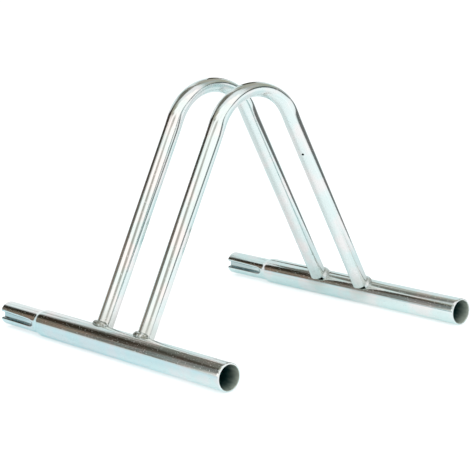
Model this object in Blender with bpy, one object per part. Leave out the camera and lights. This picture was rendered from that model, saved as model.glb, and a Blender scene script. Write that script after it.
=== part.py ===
"""One section of an extendable floor rack for bicycles, in metres, +Z up.

Two base tubes lie on the floor along X and carry two bent hoops, welded side by side, with a
tyre's width between them. A wheel rolls in along Y. Each base tube has an open socket at +X and a
swaged, grooved spigot at -X that plugs into the socket of the next section. The hoops' legs are
cut square and stand on the base tubes, and a weld bead runs round the outer side of each foot.
The origin is on the floor, under the middle of the section.
"""

from math import acos, atan2, cos, hypot, pi, radians, sin, sqrt

import bmesh
import bpy
from mathutils import Matrix, Vector

# Base tubes
BASE_LENGTH = 0.400  # spigot end to socket end
BASE_SPACING = 0.366  # front axis to rear axis
BASE_DIAMETER = 0.032
BASE_WALL = 0.002
MOUTH_CHAMFER = 0.0004  # broken edge at each tube end

# Spigot, swaged down from the base tube
SPIGOT_LENGTH = 0.067
SPIGOT_PLAY = 0.0003  # on the diameter, inside the next section's socket
SHOULDER_LENGTH = 0.010
GROOVE_DEPTH = 0.0070
GROOVE_WIDTH = 0.0076  # between the rounded lips
GROOVE_LIP_INSIDE_RADIUS = 0.0005  # of the bore, where the wall folds in at a lip
GROOVE_FLOOR_WIDTH = 0.0040
GROOVE_FLOOR_RADIUS = 0.0010
GROOVE_RUNOUT = 0.016  # the groove fades out over this length, before the shoulder

# Hoops
RACK_HEIGHT = 0.295
HOOP_DIAMETER = 0.020
HOOP_WALL = 0.0015
TYRE_GAP = 0.054  # clear width between the two hoops
HOOP_OFFSET = 0.0107  # middle of the hoop pair from the middle of the base tubes, towards the sockets
BEND_RADIUS = 0.063  # to the tube's centre line
BEND_FLATTENING = 0.0015  # the bend squeezes the tube's radius by this much
BEND_EASING = radians(25)  # the squeeze builds up over this angle at each end of the bend
FOOT_INSET = 0.0055  # each leg's centre line lands this far inside its base tube's axis
VENT_DIAMETER = 0.004
VENT_DROP = 0.051  # below the end of the bend, along the leg
VENT_TURN = radians(27)  # about the leg, from the inner side of the bend

# Weld beads
BEAD_RADIUS = 0.0050
BEAD_REACH = radians(120)  # each way round the leg, from its outer side

JOINT_GAP = 0.0003  # kept between neighbouring pieces
SMOOTH_ANGLE = radians(40)  # edges that turn more than this are shaded sharp

# Facets
LOBE_FACETS = 11  # odd, so that a tube stands on one level facet
LIP_FACETS = 4
FLOOR_FACETS = 2
HOOP_FACETS = 24
BEND_STEPS = 20
BEAD_FACETS = 10
BEAD_STEPS = 10
BEAD_END_STEPS = 4
VENT_FACETS = 12
RUNOUT_STEPS = 5
SHOULDER_STEPS = 5

BASE_RADIUS = BASE_DIAMETER / 2
SPIGOT_RADIUS = BASE_RADIUS - BASE_WALL - SPIGOT_PLAY / 2
GROOVE_LIP_RADIUS = GROOVE_LIP_INSIDE_RADIUS + BASE_WALL
HOOP_RADIUS = HOOP_DIAMETER / 2
HOOP_PITCH = TYRE_GAP + HOOP_DIAMETER

X_AXIS = Vector((1, 0, 0))


def clear_scene():
    for obj in list(bpy.data.objects):
        bpy.data.objects.remove(obj, do_unlink=True)


def make_material(name, colour, roughness):
    material = bpy.data.materials.new(name)
    material.use_nodes = True
    shader = material.node_tree.nodes["Principled BSDF"]
    shader.inputs["Base Color"].default_value = (*colour, 1)
    shader.inputs["Roughness"].default_value = roughness
    shader.inputs["Metallic"].default_value = 1
    return material


def make_mesh(name, rings, closed_loop=False):
    """Skins neighbouring rings of points with quads. Open ends are capped with one face each."""
    bm = bmesh.new()
    rows = [[bm.verts.new(point) for point in ring] for ring in rings]
    pairs = list(zip(rows, rows[1:]))
    if closed_loop:
        pairs.append((rows[-1], rows[0]))
    else:
        bm.faces.new(rows[0])
        bm.faces.new(rows[-1])
    for near, far in pairs:
        for i in range(len(near)):
            j = (i + 1) % len(near)
            bm.faces.new((near[i], near[j], far[j], far[i]))
    bmesh.ops.recalc_face_normals(bm, faces=bm.faces)
    mesh = bpy.data.meshes.new(name)
    bm.to_mesh(mesh)
    bm.free()
    mesh.shade_smooth()
    mesh.set_sharp_from_angle(angle=SMOOTH_ANGLE)
    return mesh


def add_object(name, mesh):
    obj = bpy.data.objects.new(name, mesh)
    bpy.context.collection.objects.link(obj)
    return obj


def add_cutter(name, mesh):
    obj = add_object(name, mesh)
    obj.hide_render = True
    obj.display_type = "WIRE"
    return obj


def cut(obj, cutter):
    boolean = obj.modifiers.new("Cut " + cutter.name, "BOOLEAN")
    boolean.operation = "DIFFERENCE"
    boolean.solver = "EXACT"
    boolean.object = cutter


def smooth_step(t):
    return t * t * (3 - 2 * t)


def steps(count):
    return [i / count for i in range(count + 1)]


# Sections of a base tube, in its own YZ plane, as (y, z) pairs. Every section has the same number
# of points: a lobe over the top, a groove zone at -Y, a lobe underneath and a groove zone at +Y.


def arc_points(centre, radius, start, end, facets):
    """Points on an arc, both ends included."""
    points = []
    for t in steps(facets):
        angle = start + (end - start) * t
        points.append((centre[0] + radius * cos(angle), centre[1] + radius * sin(angle)))
    return points


def lip_centre():
    """Centre of the lip's round, which touches the spigot's circle from inside."""
    height = GROOVE_WIDTH / 2 + GROOVE_LIP_RADIUS
    return sqrt((SPIGOT_RADIUS - GROOVE_LIP_RADIUS) ** 2 - height**2), height


def lip_angle():
    """Half of the groove zone, from the groove's middle line to the start of the lip's round."""
    lip_y, lip_z = lip_centre()
    return atan2(lip_z, lip_y)


def half_groove(inward):
    """The upper half of the +Y groove, from the lobe down to the edge of the floor, at a depth
    of inward under the outer surface. Its flank is the line that touches both rounds."""
    lip_y, lip_z = lip_centre()
    floor_y = SPIGOT_RADIUS - GROOVE_DEPTH + GROOVE_FLOOR_RADIUS
    floor_z = GROOVE_FLOOR_WIDTH / 2
    apart = hypot(lip_y - floor_y, lip_z - floor_z)
    across = acos((GROOVE_LIP_RADIUS + GROOVE_FLOOR_RADIUS) / apart)
    flank = atan2(lip_z - floor_z, lip_y - floor_y) + across
    lip_radius = GROOVE_LIP_RADIUS - inward
    floor_radius = GROOVE_FLOOR_RADIUS + inward
    lip = arc_points((lip_y, lip_z), lip_radius, lip_angle(), flank - pi, LIP_FACETS)
    floor = arc_points((floor_y, floor_z), floor_radius, flank, pi, FLOOR_FACETS)
    return lip + floor


def close_section(half):
    """Mirrors a half groove about Z and Y, and joins the two grooves with the round lobes."""
    right = half + [(y, -z) for y, z in reversed(half)]
    start = atan2(half[0][1], half[0][0])
    radius = hypot(*half[0])
    under = arc_points((0, 0), radius, -start, start - pi, LOBE_FACETS)[1:-1]
    left = [(-y, -z) for y, z in right]
    over = [(-y, -z) for y, z in under]
    return right + under + left + over


def grooved_section(inward):
    return close_section(half_groove(inward))


def round_section(radius):
    facets = len(half_groove(0)) * 2 - 1
    zone = arc_points((0, 0), radius, lip_angle(), -lip_angle(), facets)
    return close_section(zone[: len(zone) // 2])


def blend_sections(first, second, share):
    return [
        (a[0] + (b[0] - a[0]) * share, a[1] + (b[1] - a[1]) * share) for a, b in zip(first, second)
    ]


def base_axis_height():
    """The tube stands on its lowest facet, not on a corner of the polygon."""
    half_facet = (pi - 2 * lip_angle()) / LOBE_FACETS / 2
    return BASE_RADIUS * cos(half_facet)


def base_skin(wall):
    """(distance from the spigot end, section) pairs along one skin of the tube, at a depth of
    wall inside its outer surface."""
    grooved = grooved_section(wall)
    round_spigot = round_section(SPIGOT_RADIUS - wall)
    chamfer = MOUTH_CHAMFER if wall == 0 else -MOUTH_CHAMFER
    skin = [(0, grooved_section(wall + chamfer)), (MOUTH_CHAMFER, grooved)]
    for t in steps(RUNOUT_STEPS):
        place = SPIGOT_LENGTH - GROOVE_RUNOUT * (1 - t)
        skin.append((place, blend_sections(grooved, round_spigot, smooth_step(t))))
    for t in steps(SHOULDER_STEPS)[1:]:
        radius = SPIGOT_RADIUS + (BASE_RADIUS - SPIGOT_RADIUS) * smooth_step(t)
        skin.append((SPIGOT_LENGTH + SHOULDER_LENGTH * t, round_section(radius - wall)))
    skin.append((BASE_LENGTH - MOUTH_CHAMFER, round_section(BASE_RADIUS - wall)))
    skin.append((BASE_LENGTH, round_section(BASE_RADIUS - wall - chamfer)))
    return skin


def base_tube_mesh():
    skins = base_skin(0) + list(reversed(base_skin(BASE_WALL)))
    rings = [[Vector((x - BASE_LENGTH / 2, y, z)) for y, z in section] for x, section in skins]
    return make_mesh("base_tube", rings, closed_loop=True)


def base_cutter_mesh():
    """A solid rod as long as the base tubes, a joint gap larger all round."""
    section = round_section(BASE_RADIUS + JOINT_GAP)
    rings = [[Vector((x, y, z)) for y, z in section] for x in (-BASE_LENGTH / 2, BASE_LENGTH / 2)]
    return make_mesh("base_cutter", rings)


def base_place(side):
    return Vector((0, side * BASE_SPACING / 2, base_axis_height()))


# The hoop's centre line lies in the YZ plane through its own X. It is an arc on top with a
# straight leg running off each end of it, and the legs lean by an angle that follows from the
# height, the bend and the place of the feet.


def bend_centre():
    return Vector((0, 0, RACK_HEIGHT - (HOOP_RADIUS - BEND_FLATTENING) - BEND_RADIUS))


def leg_lean():
    """Angle of the legs from the vertical, so that they run tangent off the bend to the feet."""
    foot_y = BASE_SPACING / 2 - FOOT_INSET
    foot_z = base_axis_height() - bend_centre().z
    return atan2(foot_z, foot_y) + acos(BEND_RADIUS / hypot(foot_y, foot_z))


def leg_frame(side):
    """End of the bend, direction down the leg, and the leg's outward normal, for +Y or -Y."""
    lean = leg_lean()
    outward = Vector((0, side * cos(lean), sin(lean)))
    down = Vector((0, side * sin(lean), -cos(lean)))
    return bend_centre() + outward * BEND_RADIUS, down, outward


def leg_foot(side):
    """The point of the leg's centre line that is nearest to the base tube's axis."""
    top, down, _ = leg_frame(side)
    return top + down * (base_place(side) - top).dot(down)


def leg_end(side):
    """Middle of the leg's square end, whose plane just clears the base tube."""
    _, down, _ = leg_frame(side)
    return leg_foot(side) - down * (BASE_RADIUS + JOINT_GAP)


def hoop_ring(centre, outward, radial, across):
    """A ring round the centre line: radial is its half axis along outward, across is along X."""
    ring = []
    for i in range(HOOP_FACETS):
        angle = 2 * pi * i / HOOP_FACETS
        ring.append(centre + outward * radial * cos(angle) + X_AXIS * across * sin(angle))
    return ring


def hoop_skin(inward):
    """Rings of one skin of the hoop, from the foot at +Y over the top to the foot at -Y."""
    lean = leg_lean()
    radius = HOOP_RADIUS - inward
    skin = [hoop_ring(leg_end(1), leg_frame(1)[2], radius, radius)]
    for t in steps(BEND_STEPS):
        angle = lean + (pi - 2 * lean) * t
        outward = Vector((0, cos(angle), sin(angle)))
        eased = min(angle - lean, pi - lean - angle) / BEND_EASING
        squeeze = BEND_FLATTENING * smooth_step(max(0, min(1, eased)))
        centre = bend_centre() + outward * BEND_RADIUS
        skin.append(hoop_ring(centre, outward, radius - squeeze, radius + squeeze))
    skin.append(hoop_ring(leg_end(-1), leg_frame(-1)[2], radius, radius))
    return skin


def hoop_mesh():
    rings = hoop_skin(0) + list(reversed(hoop_skin(HOOP_WALL)))
    return make_mesh("hoop", rings, closed_loop=True)


def vent_cutter_mesh():
    """A pin through one wall of the rear leg, from the middle of its bore outwards."""
    top, down, outward = leg_frame(1)
    aim = Matrix.Rotation(-VENT_TURN, 3, down) @ -outward
    beside = down.cross(aim)
    foot = top + down * VENT_DROP
    rings = []
    for reach in (0, HOOP_DIAMETER):
        ring = []
        for i in range(VENT_FACETS):
            angle = 2 * pi * i / VENT_FACETS
            round_point = down * cos(angle) + beside * sin(angle)
            ring.append(foot + aim * reach + round_point * VENT_DIAMETER / 2)
        rings.append(ring)
    return make_mesh("vent_cutter", rings)


def leg_cutter_mesh():
    """The rear leg as a solid rod, a joint gap larger all round, run on down to the foot."""
    top, _, outward = leg_frame(1)
    radius = HOOP_RADIUS + JOINT_GAP
    rings = [hoop_ring(centre, outward, radius, radius) for centre in (top, leg_foot(1))]
    return make_mesh("leg_cutter", rings)


def bead_path():
    """(angle round the leg from its outer side, radius) pairs, with a round end each way."""
    end_angle = BEAD_RADIUS / HOOP_RADIUS
    path = [((BEAD_REACH - end_angle) * t, BEAD_RADIUS) for t in steps(BEAD_STEPS)]
    for t in steps(BEAD_END_STEPS)[1:-1]:
        turn = t * pi / 2
        path.append((BEAD_REACH - end_angle * (1 - sin(turn)), BEAD_RADIUS * cos(turn)))
    return [(-angle, radius) for angle, radius in reversed(path[1:])] + path


def bead_mesh():
    """A bead of round section along the edge of the rear leg's end, halfway down to the base
    tube below it. The leg and the base tube are cut out of it later."""
    _, down, outward = leg_frame(1)
    foot = leg_foot(1)
    leg_radius = HOOP_RADIUS + JOINT_GAP
    base_radius = BASE_RADIUS + JOINT_GAP
    inset = (base_place(1) - foot).dot(outward)
    rings = []
    for around, radius in bead_path():
        side = outward * cos(around) + X_AXIS * sin(around)
        reach = leg_radius * cos(around) - inset
        base_rise = sqrt(max(0, base_radius**2 - reach**2))
        centre = foot + side * leg_radius - down * (base_radius + base_rise) / 2
        ring = []
        for k in range(BEAD_FACETS):
            angle = 2 * pi * (k + 0.5) / BEAD_FACETS
            ring.append(centre + (side * cos(angle) - down * sin(angle)) * radius)
        rings.append(ring)
    return make_mesh("bead", rings)


def build():
    clear_scene()
    zinc = make_material("zinc", (0.80, 0.83, 0.84), 0.22)
    weld = make_material("plated_weld", (0.52, 0.55, 0.54), 0.42)

    tube = base_tube_mesh()
    tube.materials.append(zinc)
    base_rod = base_cutter_mesh()
    base_cutters = {}
    for side, place in ((-1, "front"), (1, "rear")):
        add_object(place + "_base_tube", tube).location = base_place(side)
        base_cutters[side] = add_cutter("cutter_" + place + "_base", base_rod)
        base_cutters[side].location = base_place(side)

    bent_tube = hoop_mesh()
    bent_tube.materials.append(zinc)
    vent_pin = vent_cutter_mesh()
    leg_rod = leg_cutter_mesh()
    fillet = bead_mesh()
    fillet.materials.append(weld)
    for side, name in ((1, "right"), (-1, "left")):
        x = HOOP_OFFSET + side * HOOP_PITCH / 2
        turn = 0 if side > 0 else pi
        hoop = add_object(name + "_hoop", bent_tube)
        vent = add_cutter("cutter_vent_" + name, vent_pin)
        for obj in (hoop, vent):
            obj.location.x = x
            obj.rotation_euler.z = turn
        cut(hoop, vent)
        for foot_side, place in ((-1, "front"), (1, "rear")):
            bead = add_object("weld_" + place + "_" + name, fillet)
            leg = add_cutter("cutter_leg_" + place + "_" + name, leg_rod)
            for obj in (bead, leg):
                obj.location.x = x
                obj.rotation_euler.z = 0 if foot_side > 0 else pi
            cut(bead, leg)
            cut(bead, base_cutters[foot_side])


build()
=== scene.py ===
from math import acos, atan2, cos, degrees, exp, hypot, pi, radians, sin, sqrt

import bmesh
import bpy
from mathutils import Matrix, Vector, noise


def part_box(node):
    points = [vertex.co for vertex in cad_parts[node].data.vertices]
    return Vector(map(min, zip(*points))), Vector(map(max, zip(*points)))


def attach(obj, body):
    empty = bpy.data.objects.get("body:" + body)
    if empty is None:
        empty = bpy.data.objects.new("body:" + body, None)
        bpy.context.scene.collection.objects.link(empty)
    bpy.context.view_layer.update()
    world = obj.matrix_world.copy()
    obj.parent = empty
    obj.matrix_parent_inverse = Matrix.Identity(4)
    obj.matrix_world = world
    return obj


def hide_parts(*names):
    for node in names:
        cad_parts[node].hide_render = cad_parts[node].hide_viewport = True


# One section of a bright zinc-plated floor rack for bicycles. The frame gives where each tube lies,
# and every tube and weld bead is modelled again here with its full roundness and its finish.

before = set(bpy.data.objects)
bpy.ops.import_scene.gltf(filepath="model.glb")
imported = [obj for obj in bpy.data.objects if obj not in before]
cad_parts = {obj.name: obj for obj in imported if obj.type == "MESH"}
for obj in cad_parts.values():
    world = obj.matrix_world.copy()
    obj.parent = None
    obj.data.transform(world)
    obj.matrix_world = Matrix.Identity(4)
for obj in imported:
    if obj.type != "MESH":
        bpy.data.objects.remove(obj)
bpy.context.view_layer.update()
print("Frame loaded:", ", ".join(sorted(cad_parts)))

scene = bpy.context.scene
scene.view_settings.view_transform = "Standard"

xAxis = Vector((1, 0, 0))
zAxis = Vector((0, 0, 1))
sides = {"front": -1, "rear": 1}  # the base tube at -Y and the one at +Y
tiny = 1e-6  # metres: places closer than this count as one

cameraSetup = {
    "aim": Vector((0.0094, -0.0008, 0.1116)),
    "distance": 1.94,
    "azimuth": radians(48.46),  # 0 looks along +Y
    "elevation": radians(11.79),
    "roll": radians(-1.58),
    "lens": 125.96,  # mm, on a square picture as wide as the sensor
    "sensor": 36,
}


def makeCamera(setup):
    azimuth = setup["azimuth"]
    elevation = setup["elevation"]
    level = Vector((sin(azimuth), -cos(azimuth), 0))
    back = level * cos(elevation) + zAxis * sin(elevation)
    data = bpy.data.cameras.new("camera")
    data.lens = setup["lens"]
    data.sensor_width = setup["sensor"]
    camera = bpy.data.objects.new("camera", data)
    scene.collection.objects.link(camera)
    turn = (-back).to_track_quat("-Z", "Y").to_matrix() @ Matrix.Rotation(setup["roll"], 3, "Z")
    camera.matrix_world = Matrix.Translation(setup["aim"] + back * setup["distance"]) @ turn.to_4x4()
    scene.camera = camera


makeCamera(cameraSetup)
print("Camera placed")


# Shader maths. A Signal wraps an output socket, and a Paint builds nodes in one node tree.


class Signal:
    def __init__(self, paint, socket):
        self.paint = paint
        self.socket = socket

    def __add__(self, other):
        return self.paint.maths("ADD", self, other)

    def __sub__(self, other):
        return self.paint.maths("SUBTRACT", self, other)

    def __rsub__(self, other):
        return self.paint.maths("SUBTRACT", other, self)

    def __mul__(self, other):
        return self.paint.maths("MULTIPLY", self, other)

    __radd__ = __add__
    __rmul__ = __mul__


class Paint:
    def __init__(self, tree):
        self.tree = tree

    def feed(self, socket, value):
        if isinstance(value, Signal):
            self.tree.links.new(value.socket, socket)
        elif socket.type == "RGBA":
            socket.default_value = (*value, 1)
        else:
            socket.default_value = value

    def node(self, kind, settings, sockets, output=0):  # a setting can add sockets, so it comes first
        made = self.tree.nodes.new(kind)
        for name, value in settings.items():
            setattr(made, name, value)
        for key, value in sockets.items():
            self.feed(made.inputs[key], value)
        return Signal(self, made.outputs[output])

    def maths(self, operation, first, second):
        return self.node("ShaderNodeMath", {"operation": operation}, {0: first, 1: second})

    def unsigned(self, value):
        return self.maths("ABSOLUTE", value, 0)

    def blend(self, share, first, second, kind="MIX"):  # of two colours
        settings = {"data_type": "RGBA", "clamp_factor": True, "blend_type": kind}
        return self.node("ShaderNodeMix", settings, {0: share, 6: first, 7: second}, 2)

    def ease(self, value, limits):  # 0 below the first limit, 1 above the second, smooth between
        sockets = {"Value": value, "From Min": limits[0], "From Max": limits[1]}
        return self.node("ShaderNodeMapRange", {"interpolation_type": "SMOOTHSTEP"}, sockets)

    def stretch(self, vector, scale):
        return self.node("ShaderNodeVectorMath", {"operation": "MULTIPLY"}, {0: vector, 1: scale})

    def noise(self, vector, scale=1, detail=2, roughness=0.5):
        sockets = {"Vector": vector, "Scale": scale, "Detail": detail, "Roughness": roughness}
        return self.node("ShaderNodeTexNoise", {}, sockets)

    def bump(self, height, strength, distance):
        sockets = {"Strength": strength, "Distance": distance, "Height": height}
        return self.node("ShaderNodeBump", {}, sockets)

    def attribute(self, name, output="Fac"):
        return self.node("ShaderNodeAttribute", {"attribute_name": name}, {}, output)

    def objectPlace(self):
        return self.node("ShaderNodeTexCoord", {}, {}, "Object")

    def split(self, vector):  # into x, y and z
        return [self.node("ShaderNodeSeparateXYZ", {}, {0: vector}, axis) for axis in "XYZ"]


def startMaterial(name, colour, metallic, roughness):
    material = bpy.data.materials.new(name)
    material.use_nodes = True
    material.diffuse_color = (*colour, 1)
    shader = material.node_tree.nodes["Principled BSDF"]
    shader.inputs["Base Color"].default_value = (*colour, 1)
    shader.inputs["Metallic"].default_value = metallic
    shader.inputs["Roughness"].default_value = roughness
    return material, Paint(material.node_tree), shader.inputs


# The skin of a drawn and plated tube. "straightPlace" is where a point would be if its tube lay
# straight along X through the origin, so that the draw lines follow every bend. In all skins,
# a scale is a number of features per metre, along and across the tube where it has three parts,
# and a pair of limits says where a pattern starts to show and where it shows in full. "rough" and
# "raised" hold how much each pattern adds to the roughness and to the height of the bumps, and a
# share says how far a colour covers what lies under it.

zincSkin = {
    "cool": (0.71, 0.81, 0.81),
    "warm": (0.81, 0.80, 0.80),
    "heated": (0.60, 0.62, 0.59),  # beside the welds
    "scuffed": (0.84, 0.86, 0.86),
    "grooveShade": (0.26, 0.36, 0.38),  # painted shade in the grooves, and most on their flanks
    "roughness": 0.085,
    "cloudScale": 38,  # clouds of the warm tint in the cool one
    "cloudLimits": (0.40, 0.66),
    "drawLineScale": (9, 1300, 1300),
    "fleckScale": (420, 900, 900),  # matt flecks
    "fleckLimits": (0.65, 0.73),
    "scuffScale": (60, 700, 700),
    "scuffLimits": (0.72, 0.84),
    "wearScuffs": 0.30,  # how far wear brings the scuffs on
    "waveScale": 24,
    "waveStretch": (0.35, 1, 1),
    "heatedShare": 0.7,
    "scuffedShare": 0.6,
    "rough": {"clouds": 0.05, "lines": 0.05, "heat": 0.10, "scuff": 0.16, "fleck": 0.30, "wear": 0.05},
    "raised": {"lines": 0.012, "scuff": 0.02, "fleck": 0.02},  # to 1 for the waves
    "bumpStrength": 0.35,
    "bumpDistance": 0.0006,
}


def makeZincSkin(name, look):
    material, paint, skin = startMaterial(name, look["cool"], 1.0, look["roughness"])
    place = paint.attribute("straightPlace", "Vector")
    heat = paint.attribute("weldHeat")
    wear = paint.attribute("wear")
    grooveShade = paint.attribute("grooveShade")
    clouds = paint.noise(place, look["cloudScale"], detail=3)
    lines = paint.noise(paint.stretch(place, look["drawLineScale"]), detail=3, roughness=0.6)
    flecks = paint.noise(paint.stretch(place, look["fleckScale"]), detail=1)
    fleck = paint.ease(flecks, look["fleckLimits"])
    rub = paint.noise(paint.stretch(place, look["scuffScale"]), detail=3, roughness=0.65)
    scuff = paint.ease(rub + wear * look["wearScuffs"], look["scuffLimits"])
    tint = paint.blend(paint.ease(clouds, look["cloudLimits"]), look["cool"], look["warm"])
    tint = paint.blend(heat * look["heatedShare"], tint, look["heated"])
    tint = paint.blend(scuff * look["scuffedShare"], tint, look["scuffed"])
    # painted shade in the grooves
    tint = paint.blend(grooveShade, tint, look["grooveShade"])
    paint.feed(skin["Base Color"], tint)
    # clouds and draw lines lie about a half, and so move the roughness both ways
    more = look["rough"]
    least = look["roughness"] - (more["clouds"] + more["lines"]) / 2
    rough = clouds * more["clouds"] + lines * more["lines"] + least
    rough = rough + heat * more["heat"] + scuff * more["scuff"]
    rough = rough + fleck * more["fleck"] + wear * more["wear"]
    paint.feed(skin["Roughness"], rough)
    waves = paint.noise(paint.stretch(place, look["waveStretch"]), look["waveScale"], detail=1)
    more = look["raised"]
    height = waves + lines * more["lines"] + scuff * more["scuff"] + fleck * more["fleck"]
    paint.feed(skin["Normal"], paint.bump(height, look["bumpStrength"], look["bumpDistance"]))
    return material


# Inside a tube the plating reaches only a little way from the open end, and further in the bore is
# painted almost black as shade

boreSkin = {
    "mouth": (0.68, 0.76, 0.66),
    "deep": (0.01, 0.08, 0.08),
    "oxide": (0.18, 0.26, 0.24),
    "deepLimits": (0.006, 0.032),  # metres from the end
    "ragged": 0.02,  # metres that the patches move these limits
    "patchScale": (60, 160, 160),
    "oxideLimits": (0.58, 0.75),
    "oxideShare": 0.5,
    "grainScale": 900,
    "metallic": 0.3,
    "roughness": 0.35,
    "rough": {"patches": 0.12, "deep": 0.10},
    "bumpStrength": 0.3,
    "bumpDistance": 0.0001,
}


def makeBoreSkin(name, look):
    material, paint, skin = startMaterial(name, look["mouth"], look["metallic"], look["roughness"])
    place = paint.attribute("straightPlace", "Vector")
    depth = paint.attribute("endDistance")
    patches = paint.noise(paint.stretch(place, look["patchScale"]), detail=3)
    deep = paint.ease(depth + patches * look["ragged"], look["deepLimits"])
    oxide = paint.ease(patches, look["oxideLimits"]) * look["oxideShare"]
    # painted shade: the bore goes almost black further from the open end
    tint = paint.blend(deep, look["mouth"], look["deep"])
    paint.feed(skin["Base Color"], paint.blend(oxide, tint, look["oxide"]))
    more = look["rough"]
    paint.feed(skin["Roughness"], patches * more["patches"] + deep * more["deep"] + look["roughness"])
    grain = paint.noise(place, look["grainScale"], detail=3)
    paint.feed(skin["Normal"], paint.bump(grain, look["bumpStrength"], look["bumpDistance"]))
    return material


weldSkin = {
    "plated": (0.28, 0.30, 0.26),
    "sooty": (0.15, 0.145, 0.12),
    "bright": (0.70, 0.75, 0.75),
    "blotchScale": 420,
    "grainScale": 2600,
    "brightLimits": (0.22, 0.40),
    "sootAndShadeDims": 0.22,  # how far soot and a painted dark reflection hold the bright blotches back
    "toeLimits": (0.85, 1.25),  # along both edges of a bead
    "toeRagged": 0.5,  # how far the blotches move these limits
    "toeShare": 0.8,
    "roughness": 0.24,
    "rough": {"blotches": 0.20, "grain": 0.06},
    "raised": {"blotches": 0.6, "grain": 0.4},
    "bumpStrength": 0.4,
    "bumpDistance": 0.0001,
}


def makeWeldSkin(name, look):
    material, paint, skin = startMaterial(name, look["plated"], 1.0, look["roughness"])
    place = paint.objectPlace()
    blotches = paint.noise(place, look["blotchScale"], detail=3)
    grain = paint.noise(place, look["grainScale"], detail=2)
    toe = paint.attribute("toe")
    sootAndShade = paint.attribute("sootAndShade")
    # soot and a painted dark reflection dim the bright blotches on the front beads
    clean = paint.ease(blotches - sootAndShade * look["sootAndShadeDims"], look["brightLimits"])
    sooty = paint.ease(toe + blotches * look["toeRagged"], look["toeLimits"]) * look["toeShare"]
    tint = paint.blend(clean, look["plated"], look["bright"])
    paint.feed(skin["Base Color"], paint.blend(sooty, tint, look["sooty"]))
    more = look["rough"]
    rough = blotches * more["blotches"] + grain * more["grain"] + look["roughness"]
    paint.feed(skin["Roughness"], rough)
    more = look["raised"]
    height = blotches * more["blotches"] + grain * more["grain"]
    paint.feed(skin["Normal"], paint.bump(height, look["bumpStrength"], look["bumpDistance"]))
    return material


zincMaterial = makeZincSkin("bright_zinc", zincSkin)
boreMaterial = makeBoreSkin("tube_bore", boreSkin)
weldMaterial = makeWeldSkin("plated_weld", weldSkin)
print("Finishes made")


def smoothStep(t):
    t = max(0.0, min(1.0, t))
    return t * t * (3 - 2 * t)


def onlyVerts(geometry):
    return [item for item in geometry if isinstance(item, bmesh.types.BMVert)]


def ringEdges(verts):
    inRing = set(verts)
    return [e for v in verts for e in v.link_edges if v is e.verts[0] and e.other_vert(v) in inRing]


def extrudeRing(bm, ring, step):
    made = onlyVerts(bmesh.ops.extrude_edge_only(bm, edges=ring)["geom"])
    bmesh.ops.translate(bm, verts=made, vec=step)
    return ringEdges(made)


def turnOutwards(bm, axisPoint):
    # axisPoint gives the point of the tube's centre line beside a place on its skin
    bmesh.ops.recalc_face_normals(bm, faces=bm.faces)
    bm.faces.ensure_lookup_table()
    face = bm.faces[len(bm.faces) // 2]
    middle = face.calc_center_median()
    if face.normal.dot(middle - axisPoint(middle)) < 0:
        bmesh.ops.reverse_faces(bm, faces=bm.faces)


def giveWall(bm, wall):
    # the new skin lies inside the first one, and its faces take the second material
    outside = set(bm.faces)
    bmesh.ops.solidify(bm, geom=list(bm.faces), thickness=wall)
    bm.normal_update()
    return outside


def setPointValues(mesh, name, kind, values):
    layer = mesh.attributes.new(name, kind, "POINT")
    field = "vector" if kind == "FLOAT_VECTOR" else "value"
    flat = [number for value in values for number in value] if field == "vector" else values
    layer.data.foreach_set(field, flat)


def markTube(mesh, straight, shift, values):
    # what the zinc and the bore read at each point: a value that is left out reads as 0
    setPointValues(mesh, "straightPlace", "FLOAT_VECTOR", [place + shift for place in straight])
    for name, numbers in values.items():
        setPointValues(mesh, name, "FLOAT", numbers)


def addPiece(bm, node, materials, sharpAngle=radians(35)):
    name = "finished_" + node
    mesh = bpy.data.meshes.new(name)
    bm.to_mesh(mesh)
    bm.free()
    for material in materials:
        mesh.materials.append(material)
    mesh.shade_smooth()
    mesh.set_sharp_from_angle(angle=sharpAngle)
    piece = bpy.data.objects.new(name, mesh)
    scene.collection.objects.link(piece)
    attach(piece, "root")
    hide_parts(node)
    return mesh


# Hoops: a round tube bent once, its centre line in the YZ plane through its own X

hoopTube = {
    "segments": 120,
    "radius": 0.010,
    "wall": 0.0015,
    "bendRadius": 0.063,
    "bendSteps": 72,
    "flattening": 0.0015,  # the bend squeezes the tube's radius by this much, and widens it too
    "flatteningRamp": 0.027,  # from the start of the bend
    "ridgeShift": 0.0036,  # and its widest part moves this far out
    "ridgeLead": 0.017,  # which starts this far before the bend
    "ridgeRamp": 0.034,
    "footInset": 0.0055,  # each leg's centre line lands this far inside its base tube's axis
    "legStep": 0.006,
    "rimRound": 0.0003,
    "ventRadius": 0.0015,
    "ventDrop": 0.051,  # below the end of the bend
    "ventTurn": radians(27),
    "ventPatch": 0.005,  # half of the length that has rings close together, round the vent
    "ventStep": 0.0005,
    "wearShift": 40,  # the patterns move by this times the hoop's X, so that no two wear alike
}

jointGap = 0.0003  # between the foot of a leg and the base tube, as in the solids


def tubeAxis(node):  # of a base tube: a point on it, its radius and its ends
    low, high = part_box(node)
    return {
        "y": (low.y + high.y) / 2,
        "z": (low.z + high.z) / 2,
        "radius": (high.z - low.z) / 2,
        "start": low.x,
        "end": high.x,
    }


baseAxes = {side: tubeAxis(place + "_base_tube") for place, side in sides.items()}
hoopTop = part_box("right_hoop")[1].z
bentRadius = hoopTube["radius"] - hoopTube["flattening"]
bendCentre = zAxis * (hoopTop - bentRadius - hoopTube["bendRadius"])
footY = baseAxes[1]["y"] - hoopTube["footInset"]
footDrop = bendCentre.z - baseAxes[1]["z"]
# the angle of the legs from the vertical, so that they run tangent off the bend to the feet
lean = atan2(-footDrop, footY) + acos(hoopTube["bendRadius"] / hypot(footY, footDrop))


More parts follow.
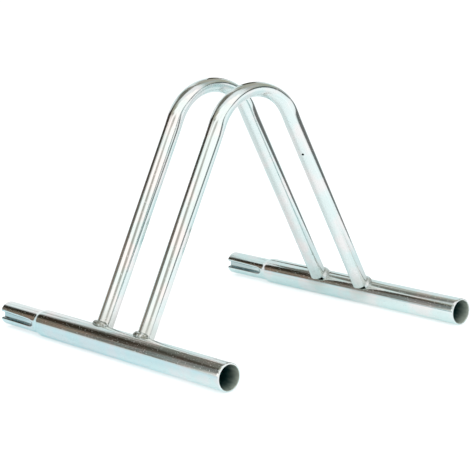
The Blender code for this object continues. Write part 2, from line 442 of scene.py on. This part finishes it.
def legFrame(side):
    # end of the bend, direction down the leg and the leg's outward normal
    outward = Vector((0, side * cos(lean), sin(lean)))
    down = Vector((0, side * sin(lean), -cos(lean)))
    return bendCentre + outward * hoopTube["bendRadius"], down, outward


def legFoot(side):
    # the point of the leg's centre line that is nearest to the base tube's axis
    top, down, _ = legFrame(side)
    axis = Vector((0, baseAxes[side]["y"], baseAxes[side]["z"]))
    return top + down * (axis - top).dot(down)


def legEnd(side):
    return legFoot(side) - legFrame(side)[1] * (baseAxes[side]["radius"] + jointGap)


legLength = (legEnd(1) - legFrame(1)[0]).length
bendLength = hoopTube["bendRadius"] * (pi - 2 * lean)


def unbend(point):
    # where a point of the hoop would be on a straight tube along X, the point of the centre line
    # beside it and the way outwards there: the tube's run starts at the foot at +Y
    angle = atan2(point.z - bendCentre.z, point.y)
    if lean < angle < pi - lean:
        outward = Vector((0, cos(angle), sin(angle)))
        beside = bendCentre + outward * hoopTube["bendRadius"]
        run = legLength + hoopTube["bendRadius"] * (angle - lean)
    else:
        side = 1 if point.y > 0 else -1
        top, down, outward = legFrame(side)
        along = (point - top).dot(down)
        beside = top + down * along
        run = legLength - along if side > 0 else legLength + bendLength + along
    across = point - beside
    return Vector((run, across.dot(outward), across.x)), beside, outward


def squeezeBend(bm):
    # leaves a flat cap along the outer side of the bend and a ridge along the inner one
    radius = hoopTube["radius"]
    for vert in bm.verts:
        place, beside, outward = unbend(vert.co)
        intoBend = min(place.x - legLength, legLength + bendLength - place.x)
        ridged = smoothStep((intoBend + hoopTube["ridgeLead"]) / hoopTube["ridgeRamp"])
        shift = hoopTube["ridgeShift"] * ridged
        flattening = hoopTube["flattening"] * smoothStep(intoBend / hoopTube["flatteningRamp"])
        height = radius - flattening + (-shift if place.y > 0 else shift)
        width = radius + flattening
        depth = shift + place.y * height / radius
        vert.co = beside + outward * depth + xAxis * (place.z * width / radius)


def legStations():
    # distances from the foot, close together round the vent
    vent = legLength - hoopTube["ventDrop"]
    low = vent - hoopTube["ventPatch"]
    high = vent + hoopTube["ventPatch"]
    stations = [0]
    while stations[-1] < legLength - tiny:
        here = stations[-1]
        step = hoopTube["ventStep"] if low <= here < high else hoopTube["legStep"]
        nextStop = low if here < low < here + step else legLength
        stations.append(min(here + step, nextStop))
    return stations


def drillVent(bm):
    # opens the faces where the drill goes through, and rounds the edge that is left
    top, down, outward = legFrame(1)
    aim = Matrix.Rotation(-hoopTube["ventTurn"], 3, down) @ -outward
    centre = top + down * hoopTube["ventDrop"]

    def offAxis(point):
        away = point - centre
        return away - aim * away.dot(aim)

    radius = hoopTube["ventRadius"]
    drilled = []
    for face in bm.faces:
        middle = face.calc_center_median()
        if (middle - centre).dot(aim) > 0 and offAxis(middle).length < radius:
            drilled.append(face)
    bmesh.ops.delete(bm, geom=drilled, context="FACES")
    for vert in bm.verts:
        if vert.is_boundary and offAxis(vert.co).length < radius * 2:
            away = offAxis(vert.co)
            place = centre + away * (radius / away.length)
            aside = (place - centre).cross(down).dot(aim)  # from the leg's centre line
            vert.co = place + aim * sqrt(hoopTube["radius"] ** 2 - aside**2)


def bendHoop():
    # one hoop in the plane x = 0, as a thin skin that gets its wall later
    bm = bmesh.new()
    _, down, outward = legFrame(1)
    stand = Matrix((outward, xAxis, -down)).transposed().to_4x4()
    start = bmesh.ops.create_circle(
        bm,
        segments=hoopTube["segments"],
        radius=hoopTube["radius"],
        matrix=Matrix.Translation(legEnd(1)) @ stand,
    )
    ring = ringEdges(start["verts"])
    stations = legStations()
    for near, far in zip(stations, stations[1:]):
        ring = extrudeRing(bm, ring, -down * (far - near))
    bent = bmesh.ops.spin(
        bm,
        geom=ring,
        cent=bendCentre,
        axis=xAxis,
        angle=pi - 2 * lean,
        steps=hoopTube["bendSteps"],
    )
    ring = ringEdges(onlyVerts(bent["geom_last"]))
    for near, far in zip(stations, stations[1:]):
        ring = extrudeRing(bm, ring, legFrame(-1)[1] * (far - near))
    squeezeBend(bm)
    turnOutwards(bm, lambda point: unbend(point)[1])
    drillVent(bm)
    return bm


rimAngle = radians(60)  # between the faces on the two sides of a rim


def roundRims(bm, ends, width):
    # rounds the two edges of each square-cut tube end; ends holds a point and a direction for each
    for point, direction in ends:
        rim = []
        for edge in bm.edges:
            onEnd = all(abs((v.co - point).dot(direction)) < tiny for v in edge.verts)
            if onEnd and edge.calc_face_angle(0) > rimAngle:
                rim.append(edge)
        bmesh.ops.bevel(
            bm,
            geom=rim,
            offset=width,
            offset_type="OFFSET",
            segments=3,
            profile=0.5,
            affect="EDGES",
            material=-1,
        )


hoopPlaces = {}
for name in ("left", "right"):
    low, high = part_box(name + "_hoop")
    hoopPlaces[name] = (low.x + high.x) / 2

feet = [legEnd(side) + xAxis * x for side in sides.values() for x in hoopPlaces.values()]
heatReach = 0.010  # from the skin of the leg


def weldHeat(point):
    # 1 at the middle of a welded foot, fading out a little way up the leg and along the base tube
    if point.z > feet[0].z + 4 * heatReach:
        return 0.0
    away = min((point - foot).length for foot in feet) - hoopTube["radius"]
    return exp(-((away / heatReach) ** 2))


def makeHoop(name):
    bm = bendHoop()
    outside = giveWall(bm, hoopTube["wall"])
    for face in bm.faces:
        face.material_index = 0 if face in outside else 1
    roundRims(bm, [(legEnd(side), legFrame(side)[1]) for side in (1, -1)], hoopTube["rimRound"])
    straight = [unbend(vert.co)[0] for vert in bm.verts]
    turn = Matrix.Rotation(pi, 4, "Z") if name == "left" else Matrix.Identity(4)
    bmesh.ops.transform(bm, matrix=Matrix.Translation(xAxis * hoopPlaces[name]) @ turn, verts=bm.verts)
    heat = [weldHeat(vert.co) for vert in bm.verts]
    total = 2 * legLength + bendLength
    fromEnd = [min(place.x, total - place.x) for place in straight]
    mesh = addPiece(bm, name + "_hoop", [zincMaterial, boreMaterial])
    shift = xAxis * (hoopPlaces[name] * hoopTube["wearShift"])
    markTube(mesh, straight, shift, {"weldHeat": heat, "endDistance": fromEnd})
    print("Made", name + "_hoop", len(mesh.polygons), "faces")


# Base tubes: drawn round, swaged down at the spigot end, and pressed with a groove on each side

baseTube = {
    "segments": 240,
    "wall": 0.002,
    "rimRound": 0.0005,
    "spigotLength": 0.067,
    "spigotPlay": 0.0003,  # on the diameter, inside the next section's socket
    "shoulderLength": 0.010,
    "grooveDepth": 0.0060,
    "grooveWidth": 0.0067,  # between the rounded lips
    "lipRadius": 0.0022,
    "floorWidth": 0.0047,
    "floorRadius": 0.0010,
    # both grooves run round the tube's axis a little, the one on the side of -Y downwards
    "grooveStart": radians(-1.5),
    "grooveTurn": radians(4.5),
    "grooveTaper": 0.16,  # and narrow by this share on their way to the shoulder
    "runout": 0.011,  # the groove fades out over this length, before the shoulder
    "runoutWidth": 0.7,  # the share of its width that is left where it ends
    "evenLength": 0.030,  # past the groove, the points of each ring spread out evenly again
    "spigotStep": 0.0015,
    "bodyStep": 0.004,
    # painted shade in the grooves, by how deep a point has sunk below the spigot's skin
    "shadeFrom": 0.0005,
    "shadeRamp": 0.0006,
    "floorFrom": 0.0026,
    "floorRamp": 0.0014,
    "floorLessShade": 0.6,  # the share that their floors lose
    "innerFrom": 0.036,  # and towards the shoulder
    "innerRamp": 0.022,
    "innerLessShade": 0.7,
    "spigotWear": 0.35,
    "undersideFrom": 0.9,  # the floor has worn the tube from this share of its radius below its axis
    "wearShift": 7,  # the patterns move this far apart
}

spigotRadius = baseAxes[1]["radius"] - baseTube["wall"] - baseTube["spigotPlay"] / 2
lipZ = baseTube["grooveWidth"] / 2 + baseTube["lipRadius"]
lipY = sqrt((spigotRadius - baseTube["lipRadius"]) ** 2 - lipZ**2)
lipAngle = atan2(lipZ, lipY)
floorZ = baseTube["floorWidth"] / 2
floorY = spigotRadius - baseTube["grooveDepth"] + baseTube["floorRadius"]
bothRounds = baseTube["lipRadius"] + baseTube["floorRadius"]
roundsApart = hypot(lipY - floorY, lipZ - floorZ)
# the direction that the flank between the two rounds faces
flankAngle = atan2(lipZ - floorZ, lipY - floorY) + acos(bothRounds / roundsApart)


def groovePoint(share):
    # walks half a groove's outline, from the middle of its floor (0) to where its lip starts (1)
    floorRadius, lipRadius = baseTube["floorRadius"], baseTube["lipRadius"]
    floorTurn = pi - flankAngle
    lipTurn = lipAngle + floorTurn
    flank = sqrt(roundsApart**2 - bothRounds**2)
    walk = share * (floorZ + floorTurn * floorRadius + flank + lipTurn * lipRadius)
    if walk < floorZ:
        return floorY - floorRadius, walk
    walk -= floorZ
    if walk < floorTurn * floorRadius:
        angle = pi - walk / floorRadius
        return floorY + floorRadius * cos(angle), floorZ + floorRadius * sin(angle)
    walk -= floorTurn * floorRadius
    if walk < flank:
        y = floorY + floorRadius * cos(flankAngle) + walk * sin(flankAngle)
        z = floorZ + floorRadius * sin(flankAngle) - walk * cos(flankAngle)
        return y, z
    angle = flankAngle - pi + (walk - flank) / lipRadius
    return lipY + lipRadius * cos(angle), lipZ + lipRadius * sin(angle)


def baseStations(length):
    # distances from the spigot's end, close together on the spigot and closest on the shoulder
    spigot = baseTube["spigotLength"]
    shoulder = spigot + baseTube["shoulderLength"]
    stations = [0]
    while stations[-1] < length - tiny:
        here = stations[-1]
        step = baseTube["spigotStep"] if here < shoulder else baseTube["bodyStep"]
        if here < spigot:
            step = min(step, spigot - here)
        elif here < shoulder:
            step = min(step / 2, shoulder - here)
        stations.append(min(here + step, length))
    return stations


def pressSpigot(bm):
    # swages each ring of the plain tube to its radius and presses the two grooves
    fullRadius = baseAxes[1]["radius"]
    for vert in bm.verts:
        toBody = baseTube["spigotLength"] - vert.co.x
        swaged = smoothStep(-toBody / baseTube["shoulderLength"])
        reach = spigotRadius + (fullRadius - spigotRadius) * swaged
        pressed = smoothStep(toBody / baseTube["runout"])
        even = smoothStep(-toBody / baseTube["evenLength"])
        run = min(1.0, vert.co.x / baseTube["spigotLength"])
        width = 1 - (1 - baseTube["runoutWidth"]) * (1 - pressed) * (1 - even)
        width *= 1 - baseTube["grooveTaper"] * run * (1 - even)
        angle = atan2(abs(vert.co.z), abs(vert.co.y))
        if angle < lipAngle:
            grooveY, grooveZ = groovePoint(angle / lipAngle)
            reach -= (spigotRadius - hypot(grooveY, grooveZ)) * pressed
            turned = width * (atan2(grooveZ, grooveY) * pressed + angle * (1 - pressed))
        else:
            turned = pi / 2 - (pi / 2 - angle) * (pi / 2 - width * lipAngle) / (pi / 2 - lipAngle)
        vert.co.y = reach * cos(turned) * (1 if vert.co.y > 0 else -1)
        vert.co.z = reach * sin(turned) * (1 if vert.co.z > 0 else -1)
        turn = baseTube["grooveStart"] + baseTube["grooveTurn"] * run
        vert.co = Matrix.Rotation(turn, 3, "X") @ vert.co


def spigotShadeAndWear(point, axisRadius):
    # how much painted shade and how much wear a base tube's skin has at a point, as measured from the
    # spigot's end
    sunk = spigotRadius - hypot(point.y, point.z)
    sunkShade = smoothStep((sunk - baseTube["shadeFrom"]) / baseTube["shadeRamp"])
    onFloor = smoothStep((sunk - baseTube["floorFrom"]) / baseTube["floorRamp"])
    inner = smoothStep((point.x - baseTube["innerFrom"]) / baseTube["innerRamp"])
    # painted shade in the grooves, lighter on their floors and towards the shoulder
    grooveShade = sunkShade * (1 - baseTube["floorLessShade"] * onFloor) * (1 - baseTube["innerLessShade"] * inner)
    onBody = smoothStep((point.x - baseTube["spigotLength"]) / baseTube["shoulderLength"])
    below = baseTube["undersideFrom"]
    underneath = smoothStep((-point.z / axisRadius - below) / (1 - below))
    return grooveShade, max(baseTube["spigotWear"] * (1 - onBody), underneath)


def makeBaseTube(place):
    side = sides[place]
    axis = baseAxes[side]
    length = axis["end"] - axis["start"]
    bm = bmesh.new()
    across = Matrix.Rotation(pi / 2, 4, "Y")
    start = bmesh.ops.create_circle(
        bm, segments=baseTube["segments"], radius=axis["radius"], matrix=across
    )
    ring = ringEdges(start["verts"])
    stations = baseStations(length)
    for near, far in zip(stations, stations[1:]):
        ring = extrudeRing(bm, ring, xAxis * (far - near))
    pressSpigot(bm)
    turnOutwards(bm, lambda point: Vector((point.x, 0, 0)))
    outside = giveWall(bm, baseTube["wall"])
    for face in bm.faces:
        onRim = abs(face.normal.x) > 0.9  # the cut ends are plated
        face.material_index = 0 if face in outside or onRim else 1
    roundRims(bm, [(xAxis * 0, xAxis), (xAxis * length, xAxis)], baseTube["rimRound"])
    for vert in bm.verts:  # the bevel can stand out by a hundredth of a millimetre
        vert.co.x = max(0.0, min(length, vert.co.x))
    straight = [vert.co.copy() for vert in bm.verts]
    bmesh.ops.translate(bm, verts=bm.verts, vec=Vector((axis["start"], axis["y"], axis["z"])))
    heat = [weldHeat(vert.co) for vert in bm.verts]
    fromEnd = [min(point.x, length - point.x) for point in straight]
    grooveShade, wear = zip(*[spigotShadeAndWear(point, axis["radius"]) for point in straight])
    mesh = addPiece(bm, place + "_base_tube", [zincMaterial, boreMaterial])
    shift = xAxis * (side * baseTube["wearShift"])
    values = {"weldHeat": heat, "endDistance": fromEnd, "wear": wear, "grooveShade": grooveShade}
    markTube(mesh, straight, shift, values)
    print("Made", place + "_base_tube", len(mesh.polygons), "faces")


# Weld beads: laid round the outer side of each foot, in the corner between leg and base tube

weldBead = {
    "radius": 0.0043,
    # how far it reaches round the leg from its outer side, backwards and onwards
    "reaches": {"front": (radians(66), radians(108)), "rear": (radians(108), radians(108))},
    "segments": 28,
    "steps": 150,
    "ripple": 0.0017,  # pitch of the ripples
    "rippleDepth": 0.00012,
    "rippleBow": 0.55,  # how far their middles lag, in ripples
    "lumpiness": 0.00015,
    "lumpScale": 330,  # per metre
    "seeds": {"front": -10, "rear": 10, "left": 3, "right": 5},
    "sharpAngle": radians(60),
    # the front beads are darker: soot, and a painted dark reflection
    "sootAndShade": {"front": 1.0, "rear": 0.0},
    "bury": 0.0004,  # how far the bead melts into both tubes
}

crown = pi / 4  # where round a bead's section its crown lies, between the leg and the base tube


def makeBead(place, hoopName):
    side = sides[place]
    seed = weldBead["seeds"][place] + weldBead["seeds"][hoopName]
    axis = baseAxes[side]
    _, down, outward = legFrame(side)
    foot = legFoot(side)
    legRadius = hoopTube["radius"]
    inset = (Vector((0, axis["y"], axis["z"])) - foot).dot(outward)
    before, after = weldBead["reaches"][place]
    endAngle = weldBead["radius"] / legRadius
    bm = bmesh.new()
    # a round section beside the leg, turned about the leg's axis from one end of the bead to the other
    firstSide = Matrix.Rotation(-before, 3, down) @ outward
    stand = Matrix((firstSide, down, firstSide.cross(down))).transposed().to_4x4()
    first = bmesh.ops.create_circle(
        bm,
        segments=weldBead["segments"],
        radius=weldBead["radius"],
        matrix=Matrix.Translation(foot + firstSide * legRadius) @ stand,
    )
    bmesh.ops.spin(
        bm,
        geom=ringEdges(first["verts"]),
        cent=foot,
        axis=down,
        angle=before + after,
        steps=weldBead["steps"],
    )
    toes = {}
    beside = down.cross(outward)
    for vert in bm.verts:
        away = vert.co - foot
        around = atan2(away.dot(beside), away.dot(outward))
        sideways = outward * cos(around) + beside * sin(around)
        middle = foot + sideways * legRadius
        spoke = vert.co - middle
        spokeAngle = atan2(-spoke.dot(down), spoke.dot(sideways))
        # the ends are round
        left = max(0.0, min(1.0, (around + before) / endAngle, (after - around) / endAngle))
        size = weldBead["radius"] * sqrt(1 - (1 - left) ** 2)
        # the ripples are arches that bow back along the bead, and the whole is a little uneven
        bow = weldBead["rippleBow"] * cos(2 * (spokeAngle - crown))
        beat = around * legRadius / weldBead["ripple"] + bow
        saw = beat - int(beat // 1)
        size += weldBead["rippleDepth"] * (4 * saw * (1 - saw) - 0.5) * left
        lump = noise.noise(vert.co * weldBead["lumpScale"] + xAxis * seed)
        size += weldBead["lumpiness"] * lump * left
        distance = legRadius * cos(around) - inset
        rise = sqrt(max(0.0, axis["radius"] ** 2 - distance**2))
        centre = middle - down * (axis["radius"] + rise) / 2
        vert.co = centre + spoke.normalized() * size
        toes[vert] = 1 - abs(cos(spokeAngle - crown))
    bmesh.ops.remove_doubles(bm, verts=bm.verts, dist=tiny)
    # what would poke through a tube's wall is moved to just under that tube's skin. A move out of one
    # tube can lead into the other, so it is done three times.
    for _ in range(3):
        for vert in bm.verts:
            away = vert.co - foot
            fromLeg = away - down * away.dot(down)
            least = legRadius - weldBead["bury"]
            if fromLeg.length < least and (vert.co - legEnd(side)).dot(down) < 0:
                vert.co += fromLeg.normalized() * (least - fromLeg.length)
            fromBase = Vector((0, vert.co.y - axis["y"], vert.co.z - axis["z"]))
            least = axis["radius"] - weldBead["bury"]
            if fromBase.length < least:
                vert.co += fromBase.normalized() * (least - fromBase.length)
    bmesh.ops.recalc_face_normals(bm, faces=bm.faces)
    bmesh.ops.translate(bm, verts=bm.verts, vec=xAxis * hoopPlaces[hoopName])
    toeValues = [toes.get(vert, 0.0) for vert in bm.verts]
    name = "weld_" + place + "_" + hoopName
    mesh = addPiece(bm, name, [weldMaterial], weldBead["sharpAngle"])
    setPointValues(mesh, "toe", "FLOAT", toeValues)
    setPointValues(mesh, "sootAndShade", "FLOAT", [weldBead["sootAndShade"][place]] * len(mesh.vertices))
    print("Made", name, len(mesh.polygons), "faces")


for hoopName in hoopPlaces:
    makeHoop(hoopName)
for place in sides:
    makeBaseTube(place)
    for hoopName in hoopPlaces:
        makeBead(place, hoopName)


# The studio: a pale floor, a white room, two soft lamps, and what only the metal shows: a tent with
# light and dark parts, and light and dark cards that stand close round the object

studio = {
    "floorSize": 30,
    "floorColour": (0.80, 0.82, 0.83),
    "floorRoughness": 0.9,
    "roomLevel": 0.72,  # what the white room gives matt surfaces
    "floorLift": 0.50,  # what the floor adds of its own to its colour, so that it is white
}

# The glow that the metal shows of the floor. Each colour lies over the ones before it, and comes in
# or fades out between two values of X or Y in metres.

floorGlow = {
    "plain": (0.17, 0.17, 0.155),
    "bright": (0.41, 0.41, 0.40),
    "brightX": (-0.10, 0.12),
    "front": (0.05, 0.21, 0.26),  # in front of the front tube, and then its part at the socket ends
    "frontEnd": (0.20, 0.27, 0.28),
    "frontY": (-0.24, -0.12),
    "frontEndX": (0.02, 0.20),
    "rear": (0.14, 0.22, 0.22),  # from the rear tube backwards, and then its part at the rear legs
    "rearLegs": (0.28, 0.32, 0.31),
    "rearY": (0.10, 0.15),
    "rearX": (0.25, 0.40),
    "rearLegsX": (0.00, 0.09),
    "rearLegsY": (0.20, 0.30),
    "besideTubes": (0.08, 0.10, 0.10),  # comes on top of the rest in a strip under each base tube
    "stripY": 0.175,
    "stripFade": (0.010, 0.050),  # from the middle of the strip
    "far": (0.20, 0.23, 0.22),  # behind the object, the metal shows a dark far floor
    "farFade": (0.92, 1.35),
    "farSlant": 0.15,
}


def rays(paint, kind):  # 1 for the rays of that kind
    return paint.node("ShaderNodeLightPath", {}, {}, kind)


def seenDirectly(paint):
    # 1 for the camera, and for what metal or glass shows
    camera = rays(paint, "Is Camera Ray")
    glossy = rays(paint, "Is Glossy Ray")
    through = rays(paint, "Is Transmission Ray")
    return paint.maths("MINIMUM", camera + glossy + through, 1.0)


def addStagePiece(name, bm, material):
    mesh = bpy.data.meshes.new(name)
    bm.to_mesh(mesh)
    bm.free()
    mesh.materials.append(material)
    piece = bpy.data.objects.new(name, mesh)
    scene.collection.objects.link(piece)
    return piece


def paintFloorGlow(paint, x, y, look):
    # gives the glow, and 1 where the floor is far
    bright = paint.ease(x, look["brightX"])
    glow = paint.blend(bright, look["plain"], look["bright"])
    inFront = 1 - paint.ease(y, look["frontY"])
    front = paint.blend(paint.ease(x, look["frontEndX"]), look["front"], look["frontEnd"])
    glow = paint.blend(inFront, glow, front)
    behind = paint.ease(y, look["rearY"]) * (1 - paint.ease(x, look["rearX"]))
    byLegs = paint.ease(x, look["rearLegsX"]) * (1 - paint.ease(y, look["rearLegsY"]))
    glow = paint.blend(behind, glow, paint.blend(byLegs, look["rear"], look["rearLegs"]))
    offStrip = paint.unsigned(paint.unsigned(y) - look["stripY"])
    inStrip = 1 - paint.ease(offStrip, look["stripFade"])
    glow = paint.blend(inStrip, glow, look["besideTubes"], "ADD")
    far = paint.ease(x + y * look["farSlant"], look["farFade"])
    return paint.blend(far, glow, (0, 0, 0)), far


def layFloor(setup, look):
    colour = setup["floorColour"]
    material, paint, skin = startMaterial("floor", colour, 0.0, setup["floorRoughness"])
    skin["Specular IOR Level"].default_value = 0.0
    x, y, _ = paint.split(paint.objectPlace())
    glow, far = paintFloorGlow(paint, x, y, look)
    inMetal = rays(paint, "Is Glossy Ray")
    lift = (setup["floorLift"],) * 3
    paint.feed(skin["Base Color"], paint.blend(far * inMetal, colour, look["far"]))
    paint.feed(skin["Emission Color"], paint.blend(inMetal, lift, glow))
    paint.feed(skin["Emission Strength"], seenDirectly(paint))
    bm = bmesh.new()
    bmesh.ops.create_grid(bm, x_segments=1, y_segments=1, size=setup["floorSize"])
    addStagePiece("floor", bm, material)


def paintRoom(setup):
    room = bpy.data.worlds.new("room")
    scene.world = room
    room.use_nodes = True
    room.cycles.sampling_method = "NONE"
    paint = Paint(room.node_tree)
    background = room.node_tree.nodes["Background"].inputs
    paint.feed(background["Color"], (1, 1, 1))
    level = seenDirectly(paint) * (1 - setup["roomLevel"]) + setup["roomLevel"]
    paint.feed(background["Strength"], level)


# Bearings are counted from +X towards +Y. Bearings and elevations are in degrees.

lamps = {
    "softbox_front": {"bearing": -35, "elevation": 55, "distance": 2.4, "size": 1.5, "level": 1.5},
    "softbox_back": {"bearing": 120, "elevation": 50, "distance": 2.6, "size": 1.2, "level": 1.2},
}


def hangLamp(name, setup):
    bearing = Matrix.Rotation(radians(setup["bearing"]), 3, "Z")
    elevation = radians(setup["elevation"])
    towards = bearing @ (xAxis * cos(elevation) + zAxis * sin(elevation))
    data = bpy.data.lights.new(name, "AREA")
    data.shape = "SQUARE"
    data.size = setup["size"]
    data.energy = setup["level"] * pi * setup["size"] ** 2
    lamp = bpy.data.objects.new(name, data)
    scene.collection.objects.link(lamp)
    lamp.location = towards * setup["distance"]
    lamp.rotation_euler = towards.to_track_quat("Z", "Y").to_euler()
    lamp.visible_camera = False
    lamp.visible_glossy = False


# Each patch of the tent has its middle, its half size, how soft its edges are (all as bearing and
# elevation) and its colour. A slanted one moves by "slant" in bearing for each degree of elevation,
# and a spotted one comes in as the noise goes from the first of its limits to the second. Later
# patches lie over earlier ones.

tent = {
    "radius": 1.6,
    "plain": (1.0, 1.0, 1.0),
    "spotScale": 13,
    "mottleScale": 7,
    "mottle": (0.7, 0.6),  # the least share of the colour that is left, and what the noise adds
    "segments": 96,
    "patches": {
        "softbox": {
            "middle": (-62, 45), "half": (80, 43), "soft": (8, 6),
            "colour": (1.30, 1.24, 1.20),
        },
        "roomBehind": {
            "middle": (90, 45), "half": (48, 30), "soft": (10, 5),
            "colour": (0.50, 0.52, 0.50),
        },
        "darkBehind": {
            "middle": (68, 5), "half": (30, 8), "soft": (16, 2),
            "colour": (0.17, 0.175, 0.17),
        },
        "oliveHigh": {
            "middle": (80, 44), "half": (50, 11), "soft": (10, 6),
            "colour": (0.46, 0.45, 0.36),
        },
        "horizon": {
            "middle": (24, 1), "half": (24, 5.5), "soft": (6, 3),
            "colour": (0.22, 0.25, 0.24),
        },
        "postBehind": {
            "middle": (41, 13), "half": (9, 18), "soft": (5, 6),
            "colour": (0.12, 0.135, 0.13),
        },
        "greyHigh": {
            "middle": (133, 52), "half": (22, 14), "soft": (6, 5),
            "colour": (0.46, 0.44, 0.37),
        },
        "greyLow": {
            "middle": (141, 24), "half": (8, 15), "soft": (4, 5),
            "colour": (0.09, 0.08, 0.055),
        },
        "sweep": {
            "middle": (-140, 0), "half": (35, 7), "soft": (8, 2),
            "colour": (0.74, 0.84, 0.86),
        },
        "brownWall": {
            "middle": (-146, 20), "half": (18, 14), "soft": (3, 2.5),
            "colour": (0.31, 0.245, 0.19),
        },
        "brownHigh": {
            "middle": (-140, 49), "half": (18, 9), "soft": (6, 4),
            "colour": (0.46, 0.43, 0.34),
        },
        "darkWall": {
            "middle": (-164, 42), "half": (22, 18), "soft": (9, 5),
            "colour": (0.18, 0.17, 0.145), "slant": -2,
        },
        "brownPost": {
            "middle": (167, 44), "half": (7, 12), "soft": (4, 5),
            "colour": (0.30, 0.28, 0.24),
        },
        "greyLeft": {
            "middle": (-166, 19), "half": (10, 7), "soft": (6, 4),
            "colour": (0.30, 0.28, 0.25),
        },
        "darkLeft": {
            "middle": (-172, 17), "half": (7, 7), "soft": (4, 4),
            "colour": (0.05, 0.045, 0.04),
        },
        "rust": {
            "middle": (-148, 21), "half": (19, 12), "soft": (4, 3),
            "colour": (0.52, 0.31, 0.19), "spotted": (0.46, 0.34),
        },
        "darkStreak": {
            "middle": (-156, 33), "half": (9, 9), "soft": (5, 4),
            "colour": (0.03, 0.025, 0.015),
        },
        "darkLow": {
            "middle": (-165, 28.5), "half": (7, 3.5), "soft": (4, 3),
            "colour": (0.02, 0.018, 0.012),
        },
        "darkLine": {
            "middle": (-146, 38), "half": (9, 3.5), "soft": (4, 3),
            "colour": (0.08, 0.07, 0.055),
        },
        "greyEdge": {
            "middle": (-134, 23), "half": (5, 14), "soft": (3, 4),
            "colour": (0.33, 0.35, 0.33),
        },
        "spots": {
            "middle": (-148, 24), "half": (19, 17), "soft": (4, 3),
            "colour": (0.05, 0.03, 0.02), "spotted": (0.47, 0.60),
        },
        "screen": {
            "middle": (-55, 30), "half": (11, 11), "soft": (6, 5),
            "colour": (0.50, 0.47, 0.42), "slant": -1.2,
        },
        "screenHigh": {
            "middle": (-111, 46), "half": (11, 4), "soft": (7, 4),
            "colour": (0.42, 0.40, 0.35),
        },
    },
}


def seenInMetal(piece):  # and by nothing else
    piece.visible_camera = False
    piece.visible_diffuse = False
    piece.visible_transmission = False
    piece.visible_shadow = False


def startGlow(name):
    material = bpy.data.materials.new(name)
    material.use_nodes = True
    material.cycles.emission_sampling = "NONE"
    nodes = material.node_tree.nodes
    nodes.clear()
    glow = nodes.new("ShaderNodeEmission")
    output = nodes.new("ShaderNodeOutputMaterial")
    material.node_tree.links.new(glow.outputs[0], output.inputs["Surface"])
    return material, Paint(material.node_tree), glow.inputs["Color"]


def hangTent(setup):
    material, paint, glow = startGlow("tent")
    place = paint.objectPlace()
    x, y, z = paint.split(place)
    bearing = paint.maths("ARCTAN2", y, x) * degrees(1)
    elevation = paint.maths("ARCSINE", z * (1 / setup["radius"]), 0) * degrees(1)
    colour = setup["plain"]
    spots = paint.noise(place, setup["spotScale"], detail=5, roughness=0.7)
    for patch in setup["patches"].values():
        rise = elevation - patch["middle"][1]
        # the bearing goes round the circle, so it is counted with the patch's middle at half a turn
        turn = bearing + (180 - patch["middle"][0]) - rise * patch.get("slant", 0)
        aside = paint.unsigned(paint.maths("FLOORED_MODULO", turn, 360.0) - 180)
        inside = 1.0
        for away, half, soft in zip((aside, paint.unsigned(rise)), patch["half"], patch["soft"]):
            inside = (1 - paint.ease(away, (half - soft, half + soft))) * inside
        if "spotted" in patch:
            inside = paint.ease(spots, patch["spotted"]) * inside
        colour = paint.blend(inside, colour, patch["colour"])
    least, more = setup["mottle"]
    mottle = paint.noise(place, setup["mottleScale"], detail=4, roughness=0.6)
    paint.feed(glow, paint.stretch(colour, mottle * more + least))
    bm = bmesh.new()
    segments = setup["segments"]
    bmesh.ops.create_uvsphere(bm, u_segments=segments, v_segments=segments // 2, radius=setup["radius"])
    seenInMetal(addStagePiece("tent", bm, material))


# Curved upright cards round the object's middle, each between two bearings and two heights

cards = {
    "distance": 0.60,
    "steps": 24,
    "light": (0.83, 0.92, 0.92),
    "wall": (0.76, 0.77, 0.75),
    "dark": (0.20, 0.19, 0.16),
    "places": {
        "card_right": {"bearings": (100, 130), "heights": (0.01, 0.60), "colour": "light"},
        "card_low": {"bearings": (130, 142), "heights": (0.01, 0.27), "colour": "light"},
        "card_middle": {"bearings": (142, 160), "heights": (0.01, 0.58), "colour": "light"},
        "card_left": {"bearings": (160, 168), "heights": (0.38, 0.55), "colour": "light"},
        "card_far": {"bearings": (170, 184), "heights": (0.40, 0.49), "colour": "light"},
        "card_wall": {"bearings": (236, 245), "heights": (0.43, 0.58), "colour": "wall"},
        "dark_high": {"bearings": (168, 198), "heights": (0.62, 0.85), "colour": "dark"},
    },
}


def standCard(name, place, setup):
    material, paint, glow = startGlow(name)
    paint.feed(glow, setup[place["colour"]])
    first, last = [radians(bearing) for bearing in place["bearings"]]
    start = Matrix.Rotation(first, 3, "Z") @ xAxis * setup["distance"]
    bm = bmesh.new()
    ends = [bm.verts.new(start + zAxis * height) for height in place["heights"]]
    edge = bm.edges.new(ends)
    turn = last - first
    bmesh.ops.spin(bm, geom=[edge], cent=Vector(), axis=zAxis, angle=turn, steps=setup["steps"])
    seenInMetal(addStagePiece(name, bm, material))


layFloor(studio, floorGlow)
paintRoom(studio)
for name, setup in lamps.items():
    hangLamp(name, setup)
hangTent(tent)
for name, place in cards["places"].items():
    standCard(name, place, cards)
print("Studio set up")
